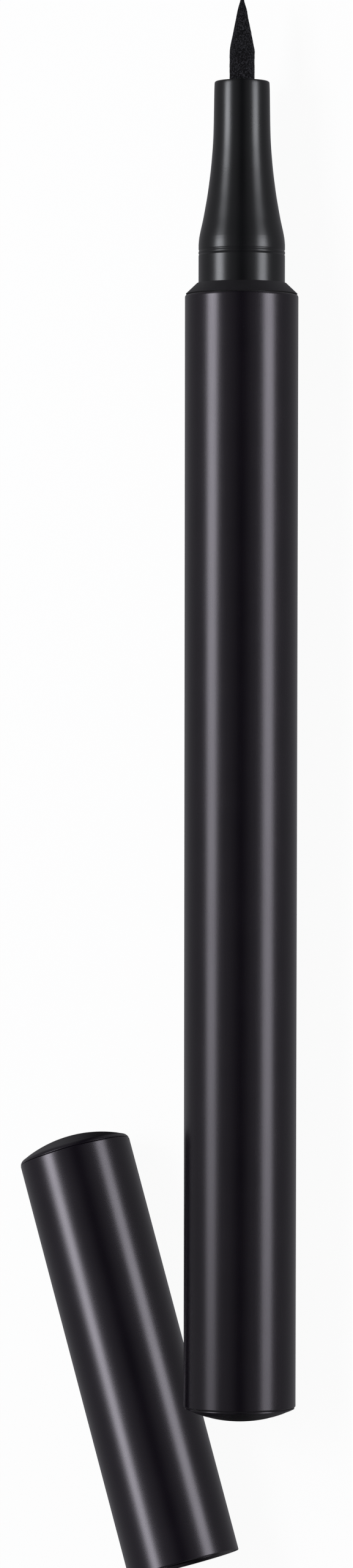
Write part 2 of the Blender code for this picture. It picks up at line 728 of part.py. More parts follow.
make_barrel(pen_axis)
make_shoulder_ring(pen_axis)
make_nose(pen_axis)
make_felt_tip(pen_axis)
make_tip_holder(pen_axis)
make_sponge(pen_axis)
make_collector(pen_axis)
make_relay_core(pen_axis)
make_divider(pen_axis)
make_ball(pen_axis)
make_tail_plug(pen_axis)
make_cap_shell(cap_axis)
make_cap_end(cap_axis)
make_cap_sleeve(cap_axis)
make_inner_cap(cap_axis)
make_spring(cap_axis)
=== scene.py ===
"""An eyeliner pen and its cap as the photograph shows them, with finished surfaces.

The pen lies along +Y with its tip forward, and the cap lies slantwise beside its tail. Most
pieces are turned: an outline of (radius, height, rounding) corners goes round an axis. The
height runs from the barrel's front edge towards the tip on the pen, and from the mouth
towards the dome on the cap.
"""

import json
import math

import bmesh
import bpy
from mathutils import Matrix, Vector, noise

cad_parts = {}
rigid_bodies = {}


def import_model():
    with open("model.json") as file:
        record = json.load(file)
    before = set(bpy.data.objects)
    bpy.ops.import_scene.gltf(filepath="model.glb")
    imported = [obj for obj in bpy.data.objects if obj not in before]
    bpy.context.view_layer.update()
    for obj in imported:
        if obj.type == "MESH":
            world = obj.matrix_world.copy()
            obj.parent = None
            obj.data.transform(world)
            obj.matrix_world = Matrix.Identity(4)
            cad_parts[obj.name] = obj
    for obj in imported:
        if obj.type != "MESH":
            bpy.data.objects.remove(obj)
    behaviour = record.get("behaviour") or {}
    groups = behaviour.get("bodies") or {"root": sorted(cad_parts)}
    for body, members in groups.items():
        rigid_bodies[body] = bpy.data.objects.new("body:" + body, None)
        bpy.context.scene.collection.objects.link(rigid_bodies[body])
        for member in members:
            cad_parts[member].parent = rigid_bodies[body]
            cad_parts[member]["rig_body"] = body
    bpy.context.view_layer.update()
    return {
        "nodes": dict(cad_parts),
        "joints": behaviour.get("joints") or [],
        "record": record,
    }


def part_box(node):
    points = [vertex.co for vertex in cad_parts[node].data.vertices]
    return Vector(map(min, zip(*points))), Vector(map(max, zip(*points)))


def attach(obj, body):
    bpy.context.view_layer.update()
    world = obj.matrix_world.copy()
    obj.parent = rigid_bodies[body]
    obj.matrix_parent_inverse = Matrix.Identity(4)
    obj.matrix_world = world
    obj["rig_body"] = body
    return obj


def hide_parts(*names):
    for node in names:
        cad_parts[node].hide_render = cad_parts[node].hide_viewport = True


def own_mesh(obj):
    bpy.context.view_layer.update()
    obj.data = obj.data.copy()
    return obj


MM = 0.001
MICRON = 0.001 * MM

# Barrel and the ink tank in it
BARREL_RADIUS = 5.0 * MM
TAIL_RADIUS = 4.93 * MM
BARREL_LENGTH = 97.8 * MM
FRONT_BORE = 4.3 * MM
TANK_BORE = 4.1 * MM
TANK_FRONT = -19.1 * MM
FRONT_ROUNDING = 0.22 * MM
TAIL_ROUNDING = 0.07 * MM

# Shoulder ring
BEVEL_OUTER = 4.95 * MM
BEVEL_INNER = 3.95 * MM
BEVEL_FOOT = 0.08 * MM
BEVEL_TOP = 1.03 * MM
BEVEL_ROUNDING = 0.07 * MM
RING_OUTER = 4.2 * MM
RING_BORE = 3.9 * MM
SPIGOT_END = -5.0 * MM

# Nose: its front, its flare down to the collar, its bead and its hidden skirt
NOSE_LENGTH = 18.8 * MM
NOSE_FRONT_RADIUS = 2.45 * MM
NOSE_ROUNDING = 0.18 * MM
NOSE_DRAW_IN = 0.03 * MM
NOSE_DRAW_IN_LENGTH = 0.7 * MM
NOSE_MOUTH_RADIUS = 1.2 * MM
NOSE_MOUTH_ROUNDING = 0.06 * MM
FLARE_FRONT = 15.2 * MM
FLARE_FOOT = 4.4 * MM
FLARE_FRONT_RADIUS = 2.49 * MM
COLLAR_RADIUS = 3.81 * MM
FLARE_ROWS = 36
FLARE_SHARES = (
    (0.0, 0.0), (0.1, 0.022), (0.2, 0.063), (0.3, 0.127), (0.4, 0.205), (0.5, 0.306), (0.6, 0.42),
    (0.7, 0.56), (0.8, 0.713), (0.9, 0.893), (0.95, 0.965), (1.0, 1.0),
)
BEAD_TOP = 3.76 * MM
BEAD_LENGTH = 0.12 * MM
BEAD_RISE = 0.01 * MM
UPPER_GROOVE_LENGTH = 0.25 * MM
LOWER_GROOVE_LENGTH = 0.19 * MM
GROOVE_DEPTH = 0.045 * MM
RIPPLE_ROWS = 6
SKIRT_OUTER = 4.2 * MM
SKIRT_BORE = 3.1 * MM
SKIRT_STEP = -5.1 * MM
SKIRT_END = -17.0 * MM
SEAL_GROOVE_RADIUS = 3.5 * MM
SEAL_GROOVE_TOP = -11.0 * MM
SEAL_GROOVE_FOOT = -11.8 * MM
HOLDER_FRONT = 16.8 * MM
HOLDER_SEAT = 7.1 * MM
HOLDER_FOOT = 6.25 * MM
HOLDER_BORE = 1.95 * MM
FLANGE_BORE = 2.35 * MM
CHAMBER_RADIUS = 2.79 * MM

# Felt tip: its shape, its rows, which crowd towards the point, and its uneven fibres
TIP_REACH = 26.2 * MM
TIP_RADIUS = 1.1 * MM
TIP_TAPER_LENGTH = 4.7 * MM
TIP_REAR = 7.2 * MM
TIP_RECESS_RADIUS = 0.6 * MM
TIP_RECESS_DEPTH = 1.6 * MM
TIP_TAPER_SHARES = (
    (0.0, 0.0), (0.02, 0.09), (0.09, 0.18), (0.2, 0.33), (0.4, 0.495), (0.6, 0.67), (0.75, 0.8),
    (0.9, 0.93), (0.97, 0.985), (1.0, 1.0),
)
TIP_STEPS = 96
TIP_ROWS = 110
TIP_ROW_POWER = 1.5
TIP_FIBRE_WIDTH = 0.16 * MM
TIP_FIBRE_LENGTH = 0.5 * MM
TIP_FIBRE_DEPTH = 0.05 * MM
TIP_FIBRE_RADIUS_SHARE = 0.25
TIP_NOISE_FALL = 0.8
TIP_NOISE_STEP = 2.0
TIP_NOISE_LAYERS = 3

# Tail plug: a shallow dome with fine turned rings, each a radius and a depth
PLUG_RIM_RADIUS = 4.83 * MM
PLUG_RIM_TOP = -97.88 * MM
PLUG_RIM_FOOT = -97.98 * MM
PLUG_DOME_HEIGHT = 1.1 * MM
PLUG_RIM_ROUNDING = 0.015 * MM
PLUG_RADIUS = 4.0 * MM
PLUG_BORE = 2.8 * MM
PLUG_FRONT = -91.4 * MM
PLUG_FLOOR = -96.8 * MM
PLUG_GROOVE_RADIUS = 3.3 * MM
PLUG_GROOVE_TOP = -94.2 * MM
PLUG_GROOVE_FOOT = -95.0 * MM
DOME_ROWS = 40
PLUG_RINGS = ((1.3 * MM, 0.012 * MM), (2.9 * MM, 0.012 * MM), (4.25 * MM, 0.02 * MM))
TURNED_RING_WIDTH = 0.14 * MM

# Cap shell and the domed end in it, with a seam between them on the rounded corner
CAP_RADIUS = 5.025 * MM
CAP_BORE = 4.4 * MM
CAP_CORNER_RADIUS = 0.6 * MM
CAP_CORNER_ROWS = 6
CAP_SEAM_HEIGHT = 0.2 * MM
CAP_SEAM_DEPTH = 0.06 * MM
CAP_SEAM_ROUNDING = 0.015 * MM
SHELL_EDGE_HEIGHT = 0.13 * MM
SHELL_BEVEL = 0.05 * MM
CAP_RINGS = ((4.45 * MM, 0.012 * MM),)
CAP_DOME_RADIUS = 10.9 * MM
CAP_LENGTH = 39.39 * MM
CAP_MOUTH_RADIUS = 4.65 * MM
CAP_MOUTH_BEVEL = 0.25 * MM
CAP_MOUTH_ROUNDING = 0.08 * MM
CAP_END_RADIUS = 4.3 * MM
CAP_END_REAR = 31.19 * MM
CAP_END_BORE = 3.7 * MM
CAP_FLOOR = 36.99 * MM
BOSS_RADIUS = 1.85 * MM
BOSS_LENGTH = 1.0 * MM

# Sleeve in the cap, inner cap and its soft seal
SLEEVE_RADIUS = 4.3 * MM
SLEEVE_BORE = 3.95 * MM
SLEEVE_FRONT = 2.0 * MM
SLEEVE_REAR = 31.09 * MM
SLEEVE_ROUNDING = 0.1 * MM
GRIP_BEAD_FOOT = 2.6 * MM
GRIP_BEAD_LENGTH = 0.6 * MM
GRIP_BEAD_RISE = 0.09 * MM
GUIDE_LIP_BORE = 3.45 * MM
GUIDE_LIP_LENGTH = 1.0 * MM
GUIDE_LIP_ROUNDING = 0.1 * MM
INNER_CAP_BORE = 2.75 * MM
INNER_CAP_RADIUS = 3.3 * MM
INNER_CAP_FLANGE_RADIUS = 3.8 * MM
INNER_CAP_LIP_LENGTH = 0.3 * MM
INNER_CAP_FLANGE_LENGTH = 0.8 * MM
INNER_CAP_FLOOR = 0.8 * MM
INNER_CAP_ROUNDING = 0.06 * MM
SEAL_SEAT_RADIUS = 3.05 * MM
SEAL_SEAT_ROUNDING = 0.03 * MM
SOFT_SEAL_RADIUS = 2.95 * MM
SOFT_SEAL_BORE = 2.65 * MM
SOFT_SEAL_LENGTH = 0.9 * MM
SOFT_SEAL_ROUNDING = 0.08 * MM
FIT_GAP = 0.1 * MM

# Spring behind the inner cap
SPRING_WIRE_RADIUS = 0.2 * MM
SPRING_RADIUS = 2.2 * MM
SPRING_TURNS = 7
SPRING_STEPS_A_TURN = 36
SPRING_WIRE_STEPS = 12

# Fineness
ROUND_STEPS = 128
CORNER_ROWS = 4
LONGEST_ROW = 5.0 * MM
HOLDING_ROW = 0.05 * MM
LEAST_DIVIDED = 4 * HOLDING_ROW
SAME_PLACE = 0.1 * MICRON
SHARP_ANGLE = math.radians(35)
FULL_TURN = 2 * math.pi

# The photograph's frame: its height in pixels, the scale at the pen's axis, and the view onto it
PHOTO_HEIGHT = 2560
PIXELS_PER_MM = 18.55
FOCAL_PIXELS = 10000
SENSOR_HEIGHT = 36.0
VIEW_TILT = math.radians(32.5)
VIEW_ROLL = math.radians(0.11)
MIDDLE_ROW_HEIGHT = -43.04 * MM
PEN_OFFSET = 5.66 * MM
CLIP_START = 10 * MM
CLIP_END = 30.0

# Lamps: an upright soft strip on each side of the view, and one more on the left for the cap
STRIP_DISTANCE = 350 * MM
STRIP_WIDTH = 130 * MM
STRIP_PART_ENDS = tuple(place * MM for place in (-300, -190, -140, -115, -60, 0, 60, 85, 140, 300))
LEFT_STRIP_ANGLE = math.radians(-61)
LEFT_STRIP_GLOW = 7.5
LEFT_STRIP_SHARES = (0, 0, 0, 0.24, 0.55, 0.82, 1.05, 1.4, 0.24)
CAP_STRIP_ANGLE = math.radians(-57.5)
CAP_STRIP_WIDTH = 95 * MM
CAP_STRIP_SHARES = (0, 0.85, 0.85, 1.05, 0.75, 0.2, 0, 0, 0)
RIGHT_STRIP_ANGLE = math.radians(56.5)
RIGHT_STRIP_GLOW = 6.5
RIGHT_STRIP_SHARES = (0, 0, 0, 0.54, 0.68, 0.82, 0.92, 1.2, 0.25)
LAMP_WATTS_PER_GLOW = 4.0
LAMP_COLOUR = (0.93, 0.93, 1.0)

# World and floor
WORLD_COLOUR = (0.95, 0.94, 1.0, 1.0)
WORLD_GLOW = 0.32
WORLD_GAP_GLOW = 0.02
WORLD_GAP_SHARES = (0.04, 0.34)
FLOOR_SIZE = 3.0
FLOOR_COLOUR = (0.9, 0.9, 0.9, 1.0)
FLOOR_WHITE_SHARE = 0.95
WHITE = (1.0, 1.0, 1.0, 1.0)
FULL = 1.0

# Grain: how fine it is, how it is drawn out, and the shares of its range that are used
LOW_DETAIL = 1.0
MEDIUM_DETAIL = 2.0
HIGH_DETAIL = 3.0
EVEN = (1, 1, 1)
GRAIN_SHARES = (0.3, 0.7)

# Numbers of the colour sockets of a Mix node
MIX_FIRST_COLOUR = 6
MIX_SECOND_COLOUR = 7
MIX_RESULT_COLOUR = 2

# Gloss plastic of the barrel, nose, tail plug and cap
BLACK = (0.0016, 0.0008, 0.0026)
BLACK_LIGHT = (0.0023, 0.0013, 0.0034)
COOL_BLACK = (0.0008, 0.0009, 0.0014)
COOL_BLACK_LIGHT = (0.0014, 0.0015, 0.0022)
GLOSS_TINT = (1.0, 0.95, 1.0, 1.0)
NOSE_TINT = (0.98, 1.0, 0.98, 1.0)
GLOSS_SPECULAR = 0.45
GLOSS_ROUGHNESS = 0.27
NOSE_ROUGHNESS = 0.285
GLOSS_SPREAD = 0.012
GLOSS_SPREAD_SHARES = (0.7, 1.3)
GLOSS_CLOUD_SIZE = 4 * MM
GLOSS_RUB_SIZE = 0.12 * MM
GLOSS_RUB_DEPTH = 0.06 * MICRON
GLOSS_WAVE_SIZE = 2.5 * MM
GLOSS_WAVE_DEPTH = 0.3 * MICRON
GLOSS_SPECK_SIZE = 0.07 * MM
GLOSS_SPECK_DEPTH = 0.1 * MICRON
ALONG_PEN = (1, 30, 1)

# Satin plastic of the shoulder ring and the cap's sleeve
SATIN_DARK = (0.0095, 0.009, 0.01)
SATIN_LIGHT = (0.0125, 0.012, 0.0135)
SATIN_SPECULAR = 0.2
SATIN_ROUGHNESS = 0.4
SATIN_SPREAD = 0.06
SATIN_CLOUD_SIZE = 1.5 * MM
SATIN_SPARK_SIZE = 0.06 * MM
SATIN_SPARK_DEPTH = 1.5 * MICRON

# Black felt of the tip, with pale specks painted into its colour as glints of light on the fibres
FELT_DARK = (0.0015, 0.0015, 0.0018)
# Pale colour of the painted glints on the fibres, and the shares of the grain that carry it
FELT_PAINTED_GLINT = (0.036, 0.036, 0.04)
FELT_PAINTED_GLINT_SHARES = (0.2, 0.42)
FELT_SPECULAR = 0.1
FELT_ROUGHNESS = 0.89
FELT_SPREAD = 0.09
FELT_FIBRE_SIZE = 0.08 * MM
FELT_FIBRE_STRETCH = (1, 2, 1)
FELT_FIBRE_DEPTH = 14 * MICRON
FELT_SPECK_SIZE = 0.12 * MM
FELT_SPECK_DEPTH = 12 * MICRON

# Pale fibre inside the pen
FIBRE_DARK = (0.4, 0.38, 0.35)
FIBRE_LIGHT = (0.6, 0.58, 0.55)
FIBRE_SPECULAR = 0.2
FIBRE_ROUGHNESS = 0.95
FIBRE_SIZE = 0.1 * MM
FIBRE_STRETCH = (1, 6, 1)
FIBRE_DEPTH = 25 * MICRON

# Milky plastic of the inner cap and the pieces inside the pen
MILKY_DARK = (0.66, 0.66, 0.63)
MILKY_LIGHT = (0.75, 0.75, 0.73)
MILKY_SPECULAR = 0.5
MILKY_ROUGHNESS = 0.41
MILKY_SPREAD = 0.07
MILKY_CLOUD_SIZE = 2 * MM
MILKY_SKIN_SIZE = 0.1 * MM
MILKY_SKIN_DEPTH = 2 * MICRON

# Grey rubber of the seals
RUBBER_DARK = (0.1, 0.1, 0.11)
RUBBER_LIGHT = (0.14, 0.14, 0.15)
RUBBER_SPECULAR = 0.3
RUBBER_ROUGHNESS = 0.8
RUBBER_SKIN_SIZE = 0.08 * MM
RUBBER_SKIN_DEPTH = 5 * MICRON

# Steel of the spring and the ball
STEEL_DARK = (0.56, 0.56, 0.58)
STEEL_LIGHT = (0.66, 0.66, 0.68)
STEEL_SPECULAR = 0.5
STEEL_METALLIC = 1.0
STEEL_ROUGHNESS = 0.26
STEEL_SPREAD = 0.08
STEEL_GRAIN_SIZE = 0.05 * MM
STEEL_GRAIN_DEPTH = 1 * MICRON

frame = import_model()


def joint_named(name):
    return next(joint for joint in frame["joints"] if joint["name"] == name)


def axis_frame(origin, along):
    """A matrix whose Z axis runs along an axis that lies flat, with its Y axis up."""
    along = Vector(along).normalized()
    side = Vector((0, 0, 1)).cross(along)
    turn = Matrix((side, along.cross(side), along)).transposed().to_4x4()
    return Matrix.Translation(origin) @ turn


def pen_frame():
    low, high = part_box("barrel")
    return axis_frame(((low.x + high.x) / 2, high.y, (low.z + high.z) / 2), (0, 1, 0))


def cap_frame():
    low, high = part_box("cap_shell")
    rim = frame["record"]["mounts"][0]["pos_m"]
    return axis_frame((rim[0], rim[1], (low.z + high.z) / 2), joint_named("cap_slide")["axis"])


pen_place = pen_frame()
cap_place = cap_frame()


# Outlines


def rounded(corners, is_ring):
    """Rounds the corners of an outline, each by its own length, and leaves open ends as they are."""
    points = []
    last = len(corners) - 1
    for index, (radius, height, rounding) in enumerate(corners):
        here = Vector((radius, height))
        if rounding == 0 or (index in (0, last) and not is_ring):
            points.append(here)
            continue
        before = Vector(corners[index - 1][:2])
        after = Vector(corners[(index + 1) % len(corners)][:2])
        start = here + (before - here).normalized() * rounding
        end = here + (after - here).normalized() * rounding
        for row in range(CORNER_ROWS + 1):
            share = row / CORNER_ROWS
            points.append(start.lerp(here, share).lerp(here.lerp(end, share), share))
    return points


def divided(points, is_ring):
    """Splits the long stretches of an outline, with a row near each end that holds the shading."""
    ends = points[1:] + points[:1] if is_ring else points[1:]
    rows = []
    for start, end in zip(points, ends):
        length = (end - start).length
        rows.append(start)
        if length > LEAST_DIVIDED:
            count = max(1, math.ceil(length / LONGEST_ROW))
            first = start.lerp(end, HOLDING_ROW / length)
            last = end.lerp(start, HOLDING_ROW / length)
            rows += [first.lerp(last, part / count) for part in range(count + 1)]
    return rows if is_ring else rows + points[-1:]


def curved(shares, place):
    """The value of a table of shares at a place, on a smooth curve through its points."""
    slopes = [(high - low) / (right - left)
              for (left, low), (right, high) in zip(shares, shares[1:])]
    middles = [(one + other) / 2 for one, other in zip(slopes, slopes[1:])]
    tangents = slopes[:1] + middles + slopes[-1:]
    for index, ((left, low), (right, high)) in enumerate(zip(shares, shares[1:])):
        if place <= right:
            width = right - left
            part = (place - left) / width
            rise = high - low
            start = tangents[index] * width
            end = tangents[index + 1] * width
            return low + part * start + part ** 2 * (3 * rise - 2 * start - end) + part ** 3 * (
                start + end - 2 * rise)
    return shares[-1][1]


def smooth(points):
    """Points of a drawn curve as corners that need no rounding."""
    return [(radius, height, 0) for radius, height in points]


def flare():
    """The nose's flare from its front down to the collar."""
    points = []
    for row in range(FLARE_ROWS + 1):
        place = row / FLARE_ROWS
        share = curved(FLARE_SHARES, place)
        radius = FLARE_FRONT_RADIUS + (COLLAR_RADIUS - FLARE_FRONT_RADIUS) * share
        points.append((radius, FLARE_FRONT + (FLARE_FOOT - FLARE_FRONT) * place))
    return points


def ripple(radius, start, length, rise):
    """A soft wave in an outline, outwards where its rise is above zero and inwards below it."""
    points = []
    for row in range(RIPPLE_ROWS + 1):
        place = row / RIPPLE_ROWS
        height = (1 - math.cos(FULL_TURN * place)) / 2
        points.append((radius + rise * height, start + length * place))
    return points


def nose_outline():
    bead_foot = BEAD_TOP - BEAD_LENGTH
    upper_groove = BEAD_TOP + UPPER_GROOVE_LENGTH
    corners = [
        (NOSE_MOUTH_RADIUS, NOSE_LENGTH, NOSE_MOUTH_ROUNDING),
        (NOSE_FRONT_RADIUS - NOSE_DRAW_IN, NOSE_LENGTH, NOSE_ROUNDING),
        (NOSE_FRONT_RADIUS, NOSE_LENGTH - NOSE_DRAW_IN_LENGTH, NOSE_DRAW_IN_LENGTH / 2),
    ]
    corners += smooth(flare())
    corners += smooth(ripple(COLLAR_RADIUS, upper_groove, -UPPER_GROOVE_LENGTH, -GROOVE_DEPTH))
    corners += smooth(ripple(COLLAR_RADIUS, BEAD_TOP, -BEAD_LENGTH, BEAD_RISE))[1:]
    corners += smooth(ripple(COLLAR_RADIUS, bead_foot, -LOWER_GROOVE_LENGTH, -GROOVE_DEPTH))[1:]
    corners += [
        (COLLAR_RADIUS, SKIRT_STEP, 0),
        (SKIRT_OUTER, SKIRT_STEP, 0),
        (SKIRT_OUTER, SEAL_GROOVE_TOP, 0),
        (SEAL_GROOVE_RADIUS, SEAL_GROOVE_TOP, 0),
        (SEAL_GROOVE_RADIUS, SEAL_GROOVE_FOOT, 0),
        (SKIRT_OUTER, SEAL_GROOVE_FOOT, 0),
        (SKIRT_OUTER, SKIRT_END, 0),
        (SKIRT_BORE, SKIRT_END, 0),
        (SKIRT_BORE, FLARE_FOOT, 0),
        (CHAMBER_RADIUS, HOLDER_FOOT, 0),
        (FLANGE_BORE, HOLDER_FOOT, 0),
        (FLANGE_BORE, HOLDER_SEAT, 0),
        (HOLDER_BORE, HOLDER_SEAT, 0),
        (HOLDER_BORE, HOLDER_FRONT, 0),
        (NOSE_MOUTH_RADIUS, HOLDER_FRONT, 0),
    ]
    return corners


def barrel_outline():
    return [
        (BARREL_RADIUS, 0, FRONT_ROUNDING),
        (TAIL_RADIUS, -BARREL_LENGTH, TAIL_ROUNDING),
        (TANK_BORE, -BARREL_LENGTH, 0),
        (TANK_BORE, TANK_FRONT, 0),
        (FRONT_BORE, TANK_FRONT, 0),
        (FRONT_BORE, 0, 0),
    ]


def ring_outline():
    return [
        (BEVEL_INNER, BEVEL_TOP, 0),
        (BEVEL_OUTER, BEVEL_FOOT, BEVEL_ROUNDING),
        (RING_OUTER, BEVEL_FOOT, 0),
        (RING_OUTER, SPIGOT_END, 0),
        (RING_BORE, SPIGOT_END, 0),
        (RING_BORE, BEVEL_TOP, 0),
    ]


def dome(apex, curve_radius, rim_radius, way, rings):
    """A shallow dome from its apex to its rim, with a fine groove for each of its rings."""
    points = []
    for row in range(DOME_ROWS + 1):
        radius = rim_radius * row / DOME_ROWS
        drop = curve_radius - math.sqrt(curve_radius ** 2 - radius ** 2)
        for middle, depth in rings:
            drop += depth * math.exp(-((radius - middle) / TURNED_RING_WIDTH) ** 2)
        points.append((radius, apex - way * drop))
    return points


def plug_outline():
    curve_radius = (PLUG_RIM_RADIUS ** 2 + PLUG_DOME_HEIGHT ** 2) / (2 * PLUG_DOME_HEIGHT)
    apex = PLUG_RIM_FOOT - PLUG_DOME_HEIGHT
    corners = [
        (0, PLUG_FLOOR, 0),
        (PLUG_BORE, PLUG_FLOOR, 0),
        (PLUG_BORE, PLUG_FRONT, 0),
        (PLUG_RADIUS, PLUG_FRONT, 0),
        (PLUG_RADIUS, PLUG_GROOVE_TOP, 0),
        (PLUG_GROOVE_RADIUS, PLUG_GROOVE_TOP, 0),
        (PLUG_GROOVE_RADIUS, PLUG_GROOVE_FOOT, 0),
        (PLUG_RADIUS, PLUG_GROOVE_FOOT, 0),
        (PLUG_RADIUS, PLUG_RIM_TOP, 0),
        (PLUG_RIM_RADIUS, PLUG_RIM_TOP, PLUG_RIM_ROUNDING),
    ]
    return corners + smooth(reversed(dome(apex, curve_radius, PLUG_RIM_RADIUS, -1, PLUG_RINGS)))


def corner_shape():
    """The radius of the cap's corner ring, and its height above the dome's centre."""
    ring_radius = CAP_RADIUS - CAP_CORNER_RADIUS
    return ring_radius, math.sqrt((CAP_DOME_RADIUS - CAP_CORNER_RADIUS) ** 2 - ring_radius ** 2)


def corner_foot():
    return CAP_LENGTH - CAP_DOME_RADIUS + corner_shape()[1]


def cap_corner():
    """Points on the cap's rounded corner, from the dome's foot down to the seam."""
    ring_radius, rise = corner_shape()
    start = math.atan2(rise, ring_radius)
    end = math.asin(CAP_SEAM_HEIGHT / CAP_CORNER_RADIUS)
    points = []
    for row in range(CAP_CORNER_ROWS + 1):
        angle = start + (end - start) * row / CAP_CORNER_ROWS
        points.append((
            ring_radius + CAP_CORNER_RADIUS * math.cos(angle),
            corner_foot() + CAP_CORNER_RADIUS * math.sin(angle)))
    return points


def shell_outline():
    """The cap's tube from its bevelled rear edge to its mouth and up the bore."""
    edge = corner_foot() + SHELL_EDGE_HEIGHT
    return [
        (CAP_BORE, edge, 0),
        (CAP_RADIUS - SHELL_BEVEL, edge, 0),
        (CAP_RADIUS, edge - SHELL_BEVEL, CAP_SEAM_ROUNDING),
        (CAP_RADIUS, 0, CAP_MOUTH_ROUNDING),
        (CAP_MOUTH_RADIUS, 0, 0),
        (CAP_BORE, CAP_MOUTH_BEVEL, 0),
    ]


def cap_end_outline():
    rim = cap_corner()
    rim_radius, rim_height = rim[-1]
    return smooth(dome(CAP_LENGTH, CAP_DOME_RADIUS, rim[0][0], 1, CAP_RINGS)[:-1] + rim[:-1]) + [
        (rim_radius, rim_height, CAP_SEAM_ROUNDING),
        (rim_radius - CAP_SEAM_DEPTH, rim_height - CAP_SEAM_DEPTH, 0),
        (CAP_END_RADIUS, rim_height - CAP_SEAM_DEPTH, 0),
        (CAP_END_RADIUS, CAP_END_REAR, 0),
        (CAP_END_BORE, CAP_END_REAR, 0),
        (CAP_END_BORE, CAP_FLOOR, 0),
        (BOSS_RADIUS, CAP_FLOOR, 0),
        (BOSS_RADIUS, CAP_FLOOR - BOSS_LENGTH, 0),
        (0, CAP_FLOOR - BOSS_LENGTH, 0),
    ]


def cap_heights(node):
    """The lowest and highest place of a CAD node along the cap's axis."""
    back = cap_place.inverted()
    heights = [(back @ vertex.co).z for vertex in frame["nodes"][node].data.vertices]
    return min(heights), max(heights)


def sleeve_outline():
    lip_top = cap_heights("inner_cap")[0] + INNER_CAP_LIP_LENGTH - FIT_GAP
    lip_foot = lip_top - GUIDE_LIP_LENGTH
    return [
        (SLEEVE_RADIUS, SLEEVE_REAR, 0),
        (SLEEVE_RADIUS, SLEEVE_FRONT, 0),
        (SLEEVE_BORE, SLEEVE_FRONT, SLEEVE_ROUNDING),
        *smooth(ripple(SLEEVE_BORE, GRIP_BEAD_FOOT, GRIP_BEAD_LENGTH, -GRIP_BEAD_RISE)),
        (SLEEVE_BORE, lip_foot, 0),
        (GUIDE_LIP_BORE, lip_foot, GUIDE_LIP_ROUNDING),
        (GUIDE_LIP_BORE, lip_top, GUIDE_LIP_ROUNDING),
        (SLEEVE_BORE, lip_top, 0),
        (SLEEVE_BORE, SLEEVE_REAR, 0),
    ]


def inner_cap_outline():
    mouth, rear = cap_heights("inner_cap")
    end = rear - BOSS_LENGTH
    seat = mouth + SOFT_SEAL_LENGTH + FIT_GAP
    flange = mouth + INNER_CAP_LIP_LENGTH
    return [
        (0, rear, 0),
        (BOSS_RADIUS, rear, INNER_CAP_ROUNDING),
        (BOSS_RADIUS, end, 0),
        (INNER_CAP_RADIUS, end, INNER_CAP_ROUNDING),
        (INNER_CAP_RADIUS, flange + INNER_CAP_FLANGE_LENGTH, 0),
        (INNER_CAP_FLANGE_RADIUS, flange + INNER_CAP_FLANGE_LENGTH, INNER_CAP_ROUNDING),
        (INNER_CAP_FLANGE_RADIUS, flange, INNER_CAP_ROUNDING),
        (INNER_CAP_RADIUS, flange, 0),
        (INNER_CAP_RADIUS, mouth, INNER_CAP_ROUNDING),
        (SEAL_SEAT_RADIUS, mouth, SEAL_SEAT_ROUNDING),
        (SEAL_SEAT_RADIUS, seat, 0),
        (INNER_CAP_BORE, seat, 0),
        (INNER_CAP_BORE, end - INNER_CAP_FLOOR, 0),
        (0, end - INNER_CAP_FLOOR, 0),
    ]


def soft_seal_outline():
    mouth = cap_heights("inner_cap")[0]
    return [
        (SOFT_SEAL_RADIUS, mouth + SOFT_SEAL_LENGTH, SOFT_SEAL_ROUNDING),
        (SOFT_SEAL_RADIUS, mouth, SOFT_SEAL_ROUNDING),
        (SOFT_SEAL_BORE, mouth, SOFT_SEAL_ROUNDING),
        (SOFT_SEAL_BORE, mouth + SOFT_SEAL_LENGTH, SOFT_SEAL_ROUNDING),
    ]


# Meshes


def ring_of(shape, place, radius, height, steps):
    """The corners of one turned row, or a single one where the row is on the axis."""
    if radius < SAME_PLACE:
        return [shape.verts.new(place @ Vector((0, 0, height)))]
    corners = []
    for step in range(steps):
        angle = FULL_TURN * step / steps
        corners.append(shape.verts.new(
            place @ Vector((radius * math.cos(angle), radius * math.sin(angle), height))))
    return corners


def bridge(shape, one, other, steps):
    """The faces between two turned rows."""
    for step in range(steps):
        after = (step + 1) % steps
        if len(one) == 1:
            shape.faces.new((one[0], other[step], other[after]))
        elif len(other) == 1:
            shape.faces.new((one[step], other[0], one[after]))
        else:
            shape.faces.new((one[step], other[step], other[after], one[after]))


def finished(name, shape):
    """An object from a mesh in the making, smooth but for its sharp edges."""
    bmesh.ops.recalc_face_normals(shape, faces=shape.faces)
    mesh = bpy.data.meshes.new(name)
    shape.to_mesh(mesh)
    shape.free()
    mesh.shade_smooth()
    mesh.set_sharp_from_angle(angle=SHARP_ANGLE)
    piece = bpy.data.objects.new(name, mesh)
    bpy.context.scene.collection.objects.link(piece)
    return piece


def turned(name, corners, place):
    """A turned piece. Its outline is a closed ring, or starts and ends on the axis."""
    is_ring = corners[0][0] > 0
    points = divided(rounded(corners, is_ring), is_ring)
    shape = bmesh.new()
    rows = [ring_of(shape, place, radius, height, ROUND_STEPS) for radius, height in points]
    ends = rows[1:] + rows[:1] if is_ring else rows[1:]
    for one, other in zip(rows, ends):
        bridge(shape, one, other, ROUND_STEPS)
    return finished(name, shape)


def fibre_rise(angle, height):
    """How far the felt's surface stands out or back at a place, for fibres of depth 1."""
    round_place = TIP_RADIUS / TIP_FIBRE_WIDTH
    spot = Vector((
        round_place * math.cos(angle), round_place * math.sin(angle), height / TIP_FIBRE_LENGTH))
    return -noise.fractal(spot, TIP_NOISE_FALL, TIP_NOISE_STEP, TIP_NOISE_LAYERS) / 2


